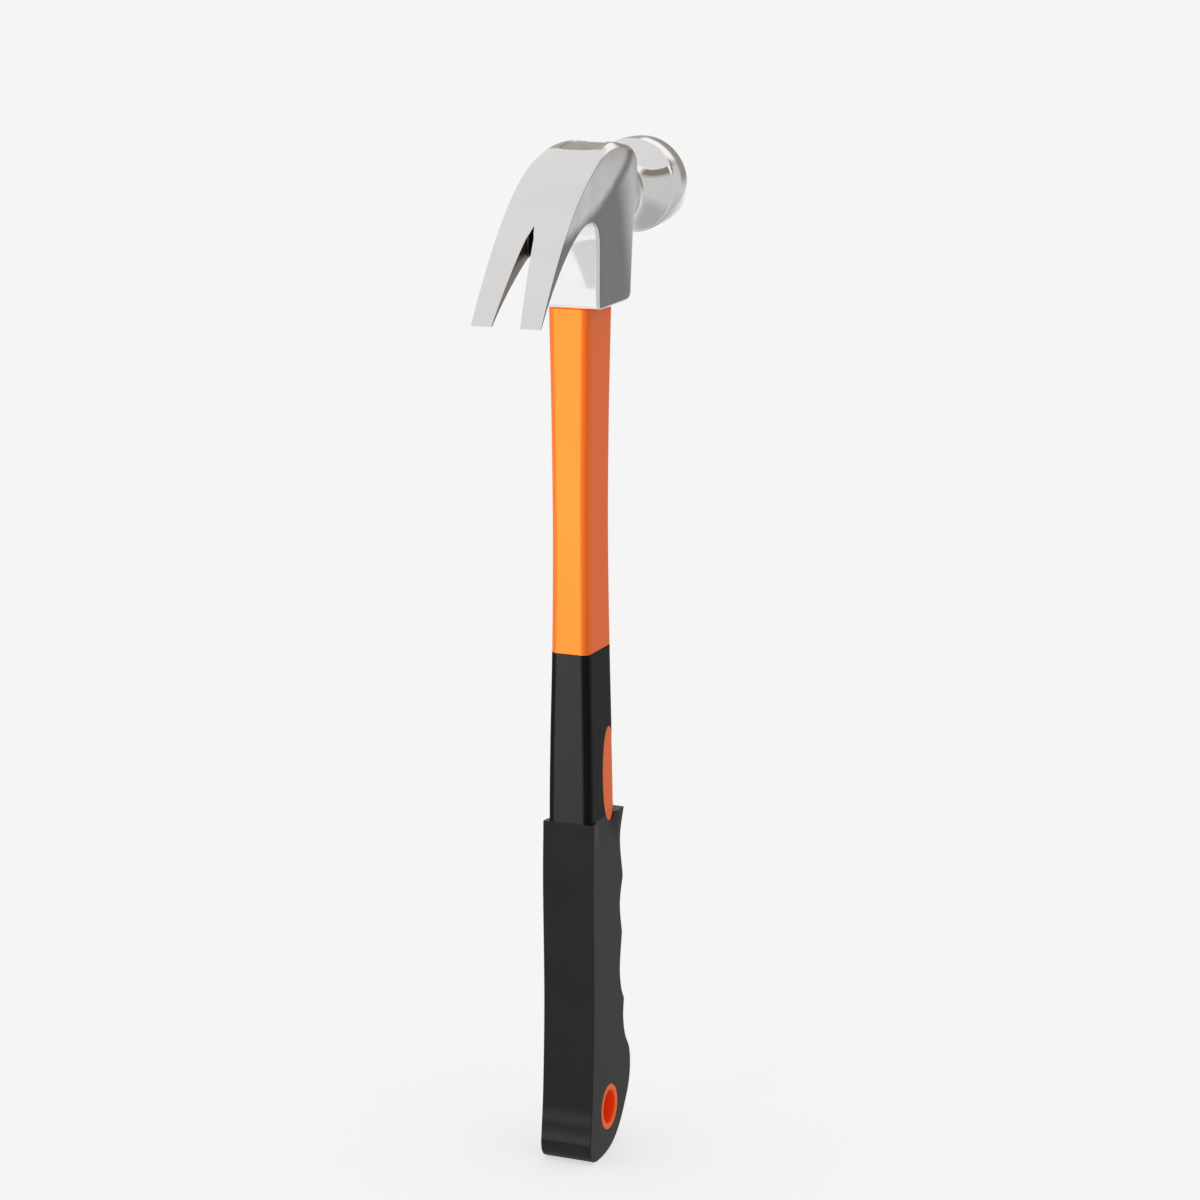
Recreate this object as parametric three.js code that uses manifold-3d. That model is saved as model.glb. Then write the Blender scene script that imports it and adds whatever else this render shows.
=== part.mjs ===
// A claw hammer: a forged steel head, potted with resin on a fibreglass core, with a moulded jacket and
// a rubber grip over the core. Millimetres. +Z runs up the handle to the head, +X points to the striking
// face, the claws point to -X, and both halves mirror in Y = 0. The pieces are drawn about the handle's
// axis, and the finished hammer is moved so that its origin is under the middle of its length and width.
import * as THREE from 'three';
import { mergeVertices } from 'three/addons/utils/BufferGeometryUtils.js';
import Module from 'manifold-3d';

const wasm = await Module();
wasm.setup();

const FIT_GAP = 0.3; // space left between a piece and the neighbour that it is cut to fit
const OVERSHOOT = 5; // how far a cutter runs past the body that it cuts
const CURVE_STEPS = 10; // straight runs in each curved stretch of an outline
const TURNED_SEGMENTS = 48; // flats round the bell
const PLAN_STEPS = 24; // levels in the head's tapering plan
const BAR_STEP = 8; // height of each run of the handle's bar

// Head
const HEAD_HALF_WIDTH = 11.6;
const NECK_FRONT = -14;
const NECK_FOOT = 284.5;
const NECK_FOOT_RADIUS = 2.6;
const ARCH_FOOT = 304.5; // where the neck's front turns into the arch under the claws
const ARCH_TOP = new THREE.Vector2(-20.5, 312.4);
const ARCH_BEND = { top: 12.5, tip: new THREE.Vector2(7.2, 9.8) }; // handles of the inner claw curve
const CLAW_TIP = new THREE.Vector2(-58.8, 284.7);
const CLAW_EDGE = new THREE.Vector2(0.8, 0.3); // from the tips' outer edge to their inner one
const CREST = new THREE.Vector2(5.7, 335.2);
const CREST_BEND = { top: 28.4, tip: new THREE.Vector2(14.6, 23.5) }; // handles of the outer claw curve
const CREST_FLAT = 7; // half-width of the crest between its rounded sides
const CREST_SIDE = 324.5; // where those rounded sides start
const CHEEK_BACK = 20.6;
const CHEEK_TOP = 334;
const CHEEK_TOP_RADIUS = 8;
const CHEEK_CORNER = 3;
const CHEEK_FOOT = 320; // where the cheek starts to draw in towards the neck
const NECK_BACK = { foot: 13.6, top: 16, radius: 4.5 };
const NECK_TOP = 305.5;
const SWELL_LEAD = 2; // how far below the cheek's curve the head's plan starts to swell
const CHEEK_BEND = { upper: 313, lower: 311, reach: 1 }; // handles of the curve from the cheek to the neck

// Poll and bell, on one level axis
const BELL_AXIS = 317.9;
const BELL_RADIUS = 15.5;
const BELL_REAR = 39.5;
const BELL_FACE = 53;
const BELL_CHAMFER = 2.2;
const POLL_RADIUS = 10.8;
const POLL_WAIST = 24;
const FLARE_BEND = { waist: 8, rear: new THREE.Vector2(3, 1.2) }; // handles of the flare between them

// Nail notch between the claws
const NOTCH_APEX = -37.4;
const NOTCH_THROAT = { x: -40.5, half: 1.2 };
const NOTCH_MOUTH = 4.8; // half-width at the tips

// Eye through the head, and what it holds
const EYE_CENTRE = 1.2;
const EYE_FOOT = { halfLength: 7.6, halfWidth: 6.6 };
const EYE_WAIST = 0.92; // scale of the eye halfway up
const EYE_CORNER = 3;
const RESIN_DROP = 0.6; // how far the resin lies below the crest
const CORE = { centre: 0.6, halfLength: 5.6, halfWidth: 3.6, corner: 3, foot: 27, top: 331 };
const TONGUE_TOP = 297;

// Handle between the grip and the head
const HANDLE_TOP = NECK_FOOT - FIT_GAP;
const HANDLE_SECTION = { halfLength: 11, half: 7, frontCorner: 1.8, backCorner: 3.6 };
const SLEEVE_TOP = 173;
const SHOULDER = 116.5; // where the thin sleeve steps out to the hand grip

// Hand grip
const GRIP_HALF_WIDTH = 9;
const EYELET = { x: 0.7, z: 15.8, outer: 7, bore: 4.75, taller: 0.9 }; // its radii in Z are taller by that
const WINDOW = { x: 3.6, z: 130, radiusX: 5.2, radiusZ: 16, floor: 4 };
const ROOT = { foot: 9, front: -10, back: 7.4, half: 5.6, corner: 2 }; // the jacket inside the grip

// Half-thickness, front and back of the handle at heights up its length
const HANDLE_STATIONS = [
  { z: ROOT.foot, half: 7.7, front: -12.4, back: 9.4 },
  { z: SHOULDER, half: 7.7, front: -12.4, back: 9.4 },
  { z: 143, half: 7.4, front: -12.3, back: 8.9 },
  { z: SLEEVE_TOP, half: 6.8, front: -12, back: 8.6 },
  { z: 210, half: 6.5, front: -11.9, back: 8 },
  { z: 245, half: 6.7, front: -12.1, back: 8 },
  { z: NECK_FOOT, half: 7.3, front: -12.5, back: 8.6 },
];

// --- Solids -------------------------------------------------------------------------------------------

function solidOf(geometry) {
  geometry.deleteAttribute('normal');
  geometry.deleteAttribute('uv');
  const merged = mergeVertices(geometry);
  const vertProperties = new Float32Array(merged.getAttribute('position').array);
  const triVerts = new Uint32Array(merged.index.array);
  return new wasm.Manifold(new wasm.Mesh({ numProp: 3, vertProperties, triVerts }));
}

function geometryOf(solid) {
  const mesh = solid.getMesh();
  const geometry = new THREE.BufferGeometry();
  geometry.setAttribute('position', new THREE.BufferAttribute(mesh.vertProperties, 3));
  geometry.setIndex(new THREE.BufferAttribute(mesh.triVerts, 1));
  geometry.computeVertexNormals();
  return geometry;
}

// An outline drawn in X and Z, given a thickness across Y
function slab(outline, halfWidth) {
  const options = { depth: 2 * halfWidth, curveSegments: CURVE_STEPS, bevelEnabled: false };
  const geometry = new THREE.ExtrudeGeometry(outline, options);
  geometry.translate(0, 0, -halfWidth);
  geometry.rotateX(Math.PI / 2);
  return solidOf(geometry);
}

// A section drawn in X and Y, run up Z in steps, with each level reshaped by fit(point)
function column(section, foot, top, steps = 1, fit = null) {
  const options = { depth: top - foot, steps, curveSegments: 4, bevelEnabled: false };
  const geometry = new THREE.ExtrudeGeometry(section, options);
  geometry.translate(0, 0, foot);
  if (fit) {
    const position = geometry.getAttribute('position');
    const point = new THREE.Vector3();
    for (let i = 0; i < position.count; i += 1) {
      point.fromBufferAttribute(position, i);
      fit(point);
      position.setXYZ(i, point.x, point.y, point.z);
    }
  }
  return solidOf(geometry);
}

// An oval cylinder across the whole hammer
function crossPin(x, z, halfLength, radiusX, radiusZ) {
  const pin = new THREE.CylinderGeometry(1, 1, 2 * halfLength, 4 * CURVE_STEPS);
  pin.scale(radiusX, 1, radiusZ);
  pin.translate(x, 0, z);
  return solidOf(pin);
}

function roundedSection(front, back, half, frontCorner, backCorner) {
  const section = new THREE.Shape();
  section.moveTo(front, half - frontCorner);
  section.lineTo(front, frontCorner - half);
  section.quadraticCurveTo(front, -half, front + frontCorner, -half);
  section.lineTo(back - backCorner, -half);
  section.quadraticCurveTo(back, -half, back, backCorner - half);
  section.lineTo(back, half - backCorner);
  section.quadraticCurveTo(back, half, back - backCorner, half);
  section.lineTo(front + frontCorner, half);
  section.quadraticCurveTo(front, half, front, half - frontCorner);
  return section;
}

// --- Head ---------------------------------------------------------------------------------------------

// The claws' outer curve, from their tips up and over the crest
function traceCrest(outline, drop = 0) {
  const low = CLAW_TIP.clone().add(CREST_BEND.tip);
  const top = CREST.y - drop;
  outline.bezierCurveTo(low.x, low.y - drop, CREST.x - CREST_BEND.top, top, CREST.x, top);
}

// The claws' inner curve, from the top of the arch down to their tips
function traceArch(outline) {
  const tip = CLAW_TIP.clone().add(CLAW_EDGE);
  const low = tip.clone().add(ARCH_BEND.tip);
  outline.bezierCurveTo(ARCH_TOP.x - ARCH_BEND.top, ARCH_TOP.y, low.x, low.y, tip.x, tip.y);
}

// The back of the cheek and neck, from the crest down to the foot
function traceBack(outline) {
  const { foot, top, radius } = NECK_BACK;
  outline.lineTo(CHEEK_BACK - CHEEK_TOP_RADIUS, CHEEK_TOP);
  outline.quadraticCurveTo(CHEEK_BACK, CHEEK_TOP, CHEEK_BACK, CHEEK_TOP - CHEEK_TOP_RADIUS);
  outline.lineTo(CHEEK_BACK, CHEEK_FOOT);
  const { upper, lower, reach } = CHEEK_BEND;
  outline.bezierCurveTo(CHEEK_BACK, upper, top + reach, lower, top, NECK_TOP);
  outline.lineTo(foot, NECK_FOOT + radius);
  outline.quadraticCurveTo(foot, NECK_FOOT, foot - radius, NECK_FOOT);
}

function headOutline() {
  const outline = new THREE.Shape();
  outline.moveTo(NECK_FRONT + NECK_FOOT_RADIUS, NECK_FOOT);
  outline.quadraticCurveTo(NECK_FRONT, NECK_FOOT, NECK_FRONT, NECK_FOOT + NECK_FOOT_RADIUS);
  outline.lineTo(NECK_FRONT, ARCH_FOOT);
  outline.quadraticCurveTo(NECK_FRONT, ARCH_TOP.y, ARCH_TOP.x, ARCH_TOP.y);
  traceArch(outline);
  outline.lineTo(CLAW_TIP.x, CLAW_TIP.y);
  traceCrest(outline);
  traceBack(outline);
  return outline;
}

// The head seen end on, with rounded upper corners, drawn in Y and Z
function crestSection() {
  const section = new THREE.Shape();
  const foot = CLAW_TIP.y - OVERSHOOT;
  const top = CREST.y + FIT_GAP;
  section.moveTo(-HEAD_HALF_WIDTH, foot);
  section.lineTo(HEAD_HALF_WIDTH, foot);
  section.lineTo(HEAD_HALF_WIDTH, CREST_SIDE);
  section.quadraticCurveTo(HEAD_HALF_WIDTH, top, CREST_FLAT, top);
  section.lineTo(-CREST_FLAT, top);
  section.quadraticCurveTo(-HEAD_HALF_WIDTH, top, -HEAD_HALF_WIDTH, CREST_SIDE);
  return section;
}

function bellSolid() {
  const profile = new THREE.Path();
  profile.moveTo(0, 0);
  profile.lineTo(POLL_RADIUS, 0);
  profile.lineTo(POLL_RADIUS, POLL_WAIST);
  const rear = new THREE.Vector2(BELL_RADIUS, BELL_REAR);
  const flare = rear.clone().sub(new THREE.Vector2(FLARE_BEND.rear.y, FLARE_BEND.rear.x));
  profile.bezierCurveTo(POLL_RADIUS, POLL_WAIST + FLARE_BEND.waist, flare.x, flare.y, rear.x, rear.y);
  profile.lineTo(BELL_RADIUS, BELL_FACE - BELL_CHAMFER);
  profile.lineTo(BELL_RADIUS - BELL_CHAMFER, BELL_FACE);
  profile.lineTo(0, BELL_FACE);
  const lathe = new THREE.LatheGeometry(profile.getPoints(CURVE_STEPS), TURNED_SEGMENTS);
  lathe.rotateZ(-Math.PI / 2);
  lathe.translate(0, 0, BELL_AXIS);
  return solidOf(lathe);
}

function notchCutter() {
  const plan = new THREE.Shape();
  const reach = CLAW_TIP.x - OVERSHOOT;
  const flare = (NOTCH_MOUTH - NOTCH_THROAT.half) / (NOTCH_THROAT.x - CLAW_TIP.x);
  const mouth = NOTCH_MOUTH + OVERSHOOT * flare;
  plan.moveTo(NOTCH_APEX, 0);
  plan.lineTo(NOTCH_THROAT.x, NOTCH_THROAT.half);
  plan.lineTo(reach, mouth);
  plan.lineTo(reach, -mouth);
  plan.lineTo(NOTCH_THROAT.x, -NOTCH_THROAT.half);
  return column(plan, CLAW_TIP.y - OVERSHOOT, CREST.y);
}

function eyeColumn(clearance, foot, top) {
  const { halfLength, halfWidth } = EYE_FOOT;
  const section = roundedSection(-halfLength, halfLength, halfWidth, EYE_CORNER, EYE_CORNER);
  const middle = (NECK_FOOT + CREST.y) / 2;
  const reach = CREST.y - middle;
  return column(section, foot, top, CURVE_STEPS, (point) => {
    const scale = EYE_WAIST + (1 - EYE_WAIST) * ((point.z - middle) / reach) ** 2;
    point.x = EYE_CENTRE + point.x * (scale - clearance / halfLength);
    point.y *= scale - clearance / halfWidth;
  });
}

// The head's plan, with rounded back corners that follow the cheek's back edge
function planColumn() {
  const front = CLAW_TIP.x - CHEEK_BACK - OVERSHOOT;
  const plan = roundedSection(front, 0, HEAD_HALF_WIDTH, FIT_GAP, CHEEK_CORNER);
  return column(plan, NECK_FOOT - OVERSHOOT, CREST.y + OVERSHOOT, PLAN_STEPS, (point) => {
    const swell = THREE.MathUtils.smoothstep(point.z, NECK_TOP - SWELL_LEAD, CHEEK_FOOT - SWELL_LEAD);
    const rise = THREE.MathUtils.inverseLerp(NECK_FOOT, NECK_TOP, point.z);
    const neck = THREE.MathUtils.lerp(NECK_BACK.foot, NECK_BACK.top, Math.min(rise, 1));
    point.x += THREE.MathUtils.lerp(neck, CHEEK_BACK, swell);
  });
}

function crestColumn() {
  const depth = CHEEK_BACK + OVERSHOOT - CLAW_TIP.x;
  const options = { depth, curveSegments: CURVE_STEPS, bevelEnabled: false };
  const geometry = new THREE.ExtrudeGeometry(crestSection(), options);
  geometry.rotateX(Math.PI / 2);
  geometry.rotateZ(Math.PI / 2);
  geometry.translate(CLAW_TIP.x - FIT_GAP, 0, 0);
  return solidOf(geometry);
}

function headSolid() {
  const block = slab(headOutline(), HEAD_HALF_WIDTH + OVERSHOOT);
  const shaped = block.intersect(crestColumn()).intersect(planColumn());
  const eye = eyeColumn(0, NECK_FOOT - OVERSHOOT, CREST.y + OVERSHOOT);
  return shaped.add(bellSolid()).subtract(notchCutter()).subtract(eye);
}

// --- Inside the eye -----------------------------------------------------------------------------------

function coreSolid(clearance = 0) {
  const { centre, halfLength, halfWidth, corner, foot, top } = CORE;
  const x = halfLength + clearance;
  const section = roundedSection(centre - x, centre + x, halfWidth + clearance, corner, corner);
  return column(section, foot - clearance, top + clearance);
}

// Resin fills the eye round the core and over its end, down to the jacket's tongue
function resinSolid() {
  const filled = eyeColumn(FIT_GAP, TONGUE_TOP + FIT_GAP, CREST.y);
  const cap = new THREE.Shape();
  cap.moveTo(CREST.x + 2 * OVERSHOOT, NECK_FOOT - OVERSHOOT);
  cap.lineTo(CLAW_TIP.x, NECK_FOOT - OVERSHOOT);
  cap.lineTo(CLAW_TIP.x, CLAW_TIP.y - RESIN_DROP);
  traceCrest(cap, RESIN_DROP);
  cap.lineTo(CREST.x + 2 * OVERSHOOT, CREST.y - RESIN_DROP);
  return filled.intersect(slab(cap, HEAD_HALF_WIDTH)).subtract(coreSolid(FIT_GAP));
}

// --- Handle -------------------------------------------------------------------------------------------

// Smooth curves through the handle's stations
const handleShape = new THREE.CubicInterpolant(
  HANDLE_STATIONS.map((station) => station.z),
  HANDLE_STATIONS.flatMap((station) => [station.half, station.front, station.back]),
  3,
);

// A stretch of the handle's tapering bar
function handleBar(foot, top) {
  const { halfLength, half, frontCorner, backCorner } = HANDLE_SECTION;
  const section = roundedSection(-halfLength, halfLength, half, frontCorner, backCorner);
  const steps = Math.ceil((top - foot) / BAR_STEP);
  return column(section, foot, top, steps, (point) => {
    const [halfHere, front, back] = handleShape.evaluate(point.z);
    point.x = (front + back) / 2 + (point.x * (back - front)) / (2 * halfLength);
    point.y *= halfHere / half;
  });
}

// The two ovals, one on each side, that the jacket fills and the sleeve leaves open
function windowPins(clearance = 0) {
  const { x, z, radiusX, radiusZ, floor } = WINDOW;
  const halfLength = (GRIP_HALF_WIDTH - floor) / 2 + clearance;
  const middle = (GRIP_HALF_WIDTH + floor) / 2;
  const pin = crossPin(x, z, halfLength, radiusX + clearance, radiusZ + clearance);
  return pin.translate([0, middle, 0]).add(pin.translate([0, -middle, 0]));
}

// The hang eyelet's outside or bore, and how far it stands out of the grip
function eyeletPin(radius, reach) {
  const { x, z, taller } = EYELET;
  return crossPin(x, z, GRIP_HALF_WIDTH + reach, radius, radius + taller);
}

// The jacket's outside under the grip, where clearance makes the room that the grip leaves for it
function jacketRoot(clearance = 0) {
  const { foot, front, back, half, corner } = ROOT;
  const section = roundedSection(front - clearance, back + clearance, half + clearance, corner, corner);
  return column(section, foot - clearance, SLEEVE_TOP).add(eyeletPin(EYELET.outer + clearance, clearance));
}

function jacketSolid() {
  const pads = windowPins().intersect(handleBar(ROOT.foot, SLEEVE_TOP));
  const handle = handleBar(SLEEVE_TOP, HANDLE_TOP);
  const tongue = eyeColumn(FIT_GAP, HANDLE_TOP - FIT_GAP, TONGUE_TOP);
  const bore = eyeletPin(EYELET.bore, OVERSHOOT);
  return jacketRoot().add(pads).add(handle).add(tongue).subtract(coreSolid(FIT_GAP)).subtract(bore);
}

// --- Grip ---------------------------------------------------------------------------------------------

function gripOutline() {
  const outline = new THREE.Shape();
  const spline = (...points) => outline.splineThru(points.map(([x, z]) => new THREE.Vector2(x, z)));
  outline.moveTo(-12.5, SHOULDER);
  spline([-13, 95], [-12.3, 56], [-13.4, 26], [-14.6, 13], [-15.3, 7]);
  outline.bezierCurveTo(-15.6, 2, -13, 0, -8, 0);
  outline.bezierCurveTo(4, 0, 9, 4, 15.5, 14.5);
  outline.bezierCurveTo(19.5, 20, 19.5, 28, 17.6, 32);
  spline([14.4, 37], [12.8, 43.5], [13.4, 50]);
  spline([11, 54.5], [9.9, 62], [11.6, 73.5]);
  spline([9.8, 84], [12.2, 93]);
  spline([9.8, 106.5], [12.9, SHOULDER]);
  return outline;
}

function gripSolid() {
  const block = slab(gripOutline(), GRIP_HALF_WIDTH);
  const sleeve = handleBar(SHOULDER - OVERSHOOT, SLEEVE_TOP - FIT_GAP);
  return block.add(sleeve).subtract(jacketRoot(FIT_GAP)).subtract(windowPins(FIT_GAP));
}

// --- Assembly -----------------------------------------------------------------------------------------

const FINISHES = {
  forgedSteel: { color: 0xd6d5d3, roughness: 0.18, metalness: 1 },
  resin: { color: 0x9a9188, roughness: 0.45, metalness: 0 },
  fibreglass: { color: 0xd8cfa8, roughness: 0.5, metalness: 0 },
  orangePolymer: { color: 0xf08a34, roughness: 0.42, metalness: 0 },
  blackRubber: { color: 0x333333, roughness: 0.75, metalness: 0 },
};

function piece(name, solid, finish) {
  const mesh = new THREE.Mesh(geometryOf(solid), new THREE.MeshStandardMaterial(FINISHES[finish]));
  mesh.name = name;
  return mesh;
}

const hammer = new THREE.Group();
hammer.add(
  piece('hammer_head', headSolid(), 'forgedSteel'),
  piece('eye_resin', resinSolid(), 'resin'),
  piece('fibreglass_core', coreSolid(), 'fibreglass'),
  piece('handle_jacket', jacketSolid(), 'orangePolymer'),
  piece('rubber_grip', gripSolid(), 'blackRubber'),
);
hammer.position.x = -(CLAW_TIP.x + BELL_FACE) / 2;

export default hammer;
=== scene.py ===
"""The looks of a claw hammer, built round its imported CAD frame.

Shapes are drawn in millimetres about the handle's axis, as the CAD is, and placed in the frame in metres.
+Z runs up the handle to the head, the claws point to -X, and both halves mirror in Y = 0.
"""
import math

import bmesh
import bpy
import numpy as np
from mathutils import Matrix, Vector
from mathutils.geometry import delaunay_2d_cdt

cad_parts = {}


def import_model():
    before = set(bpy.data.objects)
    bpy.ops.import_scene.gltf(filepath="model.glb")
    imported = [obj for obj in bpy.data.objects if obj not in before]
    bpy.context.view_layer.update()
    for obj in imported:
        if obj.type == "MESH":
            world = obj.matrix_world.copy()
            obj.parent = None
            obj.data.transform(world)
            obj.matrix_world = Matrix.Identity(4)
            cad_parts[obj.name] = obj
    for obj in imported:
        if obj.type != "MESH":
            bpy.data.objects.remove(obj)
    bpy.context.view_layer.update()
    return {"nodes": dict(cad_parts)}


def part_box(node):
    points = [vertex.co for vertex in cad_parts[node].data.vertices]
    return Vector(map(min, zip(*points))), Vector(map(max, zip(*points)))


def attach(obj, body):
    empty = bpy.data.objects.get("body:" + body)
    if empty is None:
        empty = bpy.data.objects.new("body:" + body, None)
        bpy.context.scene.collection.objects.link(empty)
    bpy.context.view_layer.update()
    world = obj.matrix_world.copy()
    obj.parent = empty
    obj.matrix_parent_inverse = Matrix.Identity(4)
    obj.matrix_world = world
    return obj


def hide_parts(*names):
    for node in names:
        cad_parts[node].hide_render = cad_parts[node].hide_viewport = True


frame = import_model()

MM = 0.001
HEAD_LOW, HEAD_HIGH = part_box("hammer_head")
GRIP_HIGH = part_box("rubber_grip")[1]

# Head, in millimetres about the handle's axis
CLAW_TIP = (-58.8, 284.7)
AXIS_SHIFT = HEAD_LOW.x / MM - CLAW_TIP[0]  # from the handle's axis to the frame's origin
HALF_WIDTH = 11.6
CREST_TOP = HEAD_HIGH.z / MM
CREST_X = 5.7
CREST_SIDE = 324.5  # where the crest's sides start to round over
CREST_SPREAD = (4.6, 11.0)  # how far they round over, across and up
NECK_FOOT = 284.5
NECK_FRONT = -14.0
ARCH_TOP = (-20.5, 312.4)
CHEEK_BACK = 20.6
NECK_BACK = (13.6, 16.0)  # at the foot and at the top
NECK_BENDS = (304.5, 305.5)  # how high its front and its back run straight
FOOT_FRONT_CORNER = (2.4, 2.1)  # up and in
FOOT_BACK_CORNER = 4.5
CHEEK_FLAT = (320.0, 326.0)  # where the cheek's back edge runs straight
CHEEK_TOP = 334.0
CHEEK_TAPER = (5.0, 14.0, 0.5)  # where the cheeks start to draw in, over what length and by how much
BELL_AXIS = 317.9  # its height
BELL_FACE = HEAD_HIGH.x / MM - AXIS_SHIFT
BELL_RADIUS = 15.5
BELL_REAR = 39.5  # where the flare meets the rim
POLL_RADIUS = 10.8
POLL_WAIST = 24.0
CHEEK_DENTS = (  # where they are in X and Z, their size and their depth
    (6.3, 326.3, 0.9, 0.12),
    (2.8, 321.0, 1.1, 0.12),
    (1.6, 313.6, 1.4, 0.08),
    (9.5, 303.0, 1.2, 0.08),
)
CLAW_EDGE = 0.12  # how far the claws' crisp edges are rounded
# the sagging line between the claws' flank and the neck, about its middle in X
FLANK_LINE = {"slope": 0.42, "middle": -15.5, "reach": 23.0, "sag": 2.8}
NOTCH_APEX = -37.4
NOTCH_THROAT = (-40.5, 1.2)
NOTCH_BEND = (-39.6, 0.75)
NOTCH_MOUTH = 4.8
EYE = {"x": 1.2, "length": 7.6, "width": 6.6, "corner": 3.0, "waist": 0.92}
RESIN_FOOT = 297.3
RESIN_DROP = 0.6  # how far its top is below the crest

# Handle and grip
HANDLE_TOP = 284.4
SLEEVE_TOP = GRIP_HIGH.z / MM
SHOULDER = 116.5
GRIP_HALF = GRIP_HIGH.y / MM
FRONT_CORNER, BACK_CORNER = 3.0, 3.6  # of the handle's section
CORNER_STEPS = 8
SLEEVE_HALF = 7.7  # half the sleeve's thickness at the shoulder
MOULD_EDGE = 0.15  # how far the edges of the handle and the sleeve are eased
GRIP_EDGE = 0.45  # how far the hand grip's edges are rounded
# the scoop under each window: how far down it goes, and where along X it fades in and out
SCOOP = {"drop": 11.0, "front": (-11.0, -6.0), "back": (4.0, 8.5)}
# the jacket inside the grip
ROOT = {"foot": 9.0, "middle": 60.0, "front": -10.0, "back": 7.4, "half": 5.6, "corner": 2.0}
# the oval eyelet of the hang hole: "outer" and "bore" are its radii along X, and those along Z are taller
EYELET = {"x": 0.7, "z": 15.8, "outer": 7.0, "bore": 4.75, "taller": 0.9, "steps": 96}
# the oval windows: half their width and height, and how far out across Y they are cut from and to
WINDOW = {"x": 3.6, "z": 130.0, "wide": 5.2, "tall": 16.0, "floor": 4.0, "reach": 15.0, "steps": 72}
STATIONS = np.array([  # height, half-thickness, front and back
    (9, SLEEVE_HALF, -12.4, 9.4),
    (SHOULDER, SLEEVE_HALF, -12.4, 9.4),
    (143, 7.4, -12.3, 8.9),
    (173, 6.8, -12.0, 8.6),
    (210, 6.5, -11.9, 8.0),
    (245, 6.7, -12.1, 8.0),
    (NECK_FOOT, 7.3, -12.5, 8.6),
])


# --- Curves -----------------------------------------------------------------------------------------------

def bezier(points, steps):
    """Points along a Bezier curve of any degree, without its last one."""
    t = np.arange(steps)[:, None] / steps
    rows = [np.asarray(p, float) for p in points]
    while len(rows) > 1:
        rows = [(1 - t) * a + t * b for a, b in zip(rows, rows[1:])]
    return rows[0]


def line(start, end, steps):
    return bezier([start, end], steps)


def spline(points, steps):
    """A smooth curve through the points, without its last one."""
    rows = np.asarray(points, float)
    padded = np.vstack([2 * rows[0] - rows[1], rows, 2 * rows[-1] - rows[-2]])
    t = (np.arange(steps) / steps)[:, None]
    stretches = []
    for a, b, c, d in zip(padded, padded[1:], padded[2:], padded[3:]):
        stretches.append(0.5 * (2 * b + (c - a) * t + (2 * a - 5 * b + 4 * c - d) * t ** 2
                                + (3 * b - a - 3 * c + d) * t ** 3))
    return np.vstack(stretches)


def smoothstep(value, low, high):
    t = np.clip((value - low) / (high - low), 0, 1)
    return t * t * (3 - 2 * t)


def full_turn(steps):
    """Evenly spaced angles round a circle."""
    return np.linspace(0, 2 * math.pi, steps, endpoint=False)


def inward_normals(outline):
    """Unit normals into a closed outline that runs anticlockwise in X and Z."""
    ahead = np.roll(outline, -1, 0) - outline
    ahead /= np.linalg.norm(ahead, axis=1)[:, None]
    along = ahead + np.roll(ahead, 1, 0)
    along /= np.linalg.norm(along, axis=1)[:, None]
    return np.stack([-along[:, 1], along[:, 0]], 1)


# --- Meshes -----------------------------------------------------------------------------------------------

def make_object(name, vertices, faces):
    """A closed mesh from points in millimetres about the handle's axis."""
    mesh = bpy.data.meshes.new(name)
    placed = (np.asarray(vertices, float) + (AXIS_SHIFT, 0, 0)) * MM
    mesh.from_pydata(placed.tolist(), [], faces)
    welded = bmesh.new()
    welded.from_mesh(mesh)
    bmesh.ops.remove_doubles(welded, verts=welded.verts, dist=0.002 * MM)
    bmesh.ops.recalc_face_normals(welded, faces=welded.faces)
    welded.to_mesh(mesh)
    welded.free()
    piece = bpy.data.objects.new(name, mesh)
    bpy.context.scene.collection.objects.link(piece)
    return piece


def bridge(first, second, count):
    """Quads between two rings of vertices that start at these indices."""
    nexts = np.roll(np.arange(count), -1)
    return [(first + i, first + int(j), second + int(j), second + i) for i, j in enumerate(nexts)]


def fill_flat(boundary, spacing):
    """Triangles inside a closed outline, with a grid of points within it."""
    low, high = boundary.min(0), boundary.max(0)
    columns, rows = (np.arange(a, b, spacing) for a, b in zip(low + spacing / 2, high))
    grid = np.stack(np.meshgrid(columns, rows), -1).reshape(-1, 2)
    # every other row is shifted, so that the triangles come out even
    grid[:, 0] += np.where(np.round(grid[:, 1] / spacing).astype(int) % 2, spacing / 4, -spacing / 4)
    ends = np.roll(boundary, -1, 0)
    inside = np.zeros(len(grid), bool)
    for (ax, ay), (bx, by) in zip(boundary, ends):
        crosses = (ay > grid[:, 1]) != (by > grid[:, 1])
        if crosses.any():
            at = ax + (grid[:, 1] - ay) / (by - ay if by != ay else 1) * (bx - ax)
            inside ^= crosses & (grid[:, 0] < at)
    grid = grid[inside]
    gaps = np.linalg.norm(grid[:, None] - boundary[None], axis=2).min(1)
    grid = grid[gaps > 0.6 * spacing]
    points = np.vstack([boundary, grid])
    loop = list(range(len(boundary)))
    _, _, faces, origins, _, _ = delaunay_2d_cdt([Vector(p) for p in points], [], [loop], 1, 1e-7)
    order = [found[0] for found in origins]
    return points, [tuple(order[i] for i in face) for face in faces]


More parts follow.
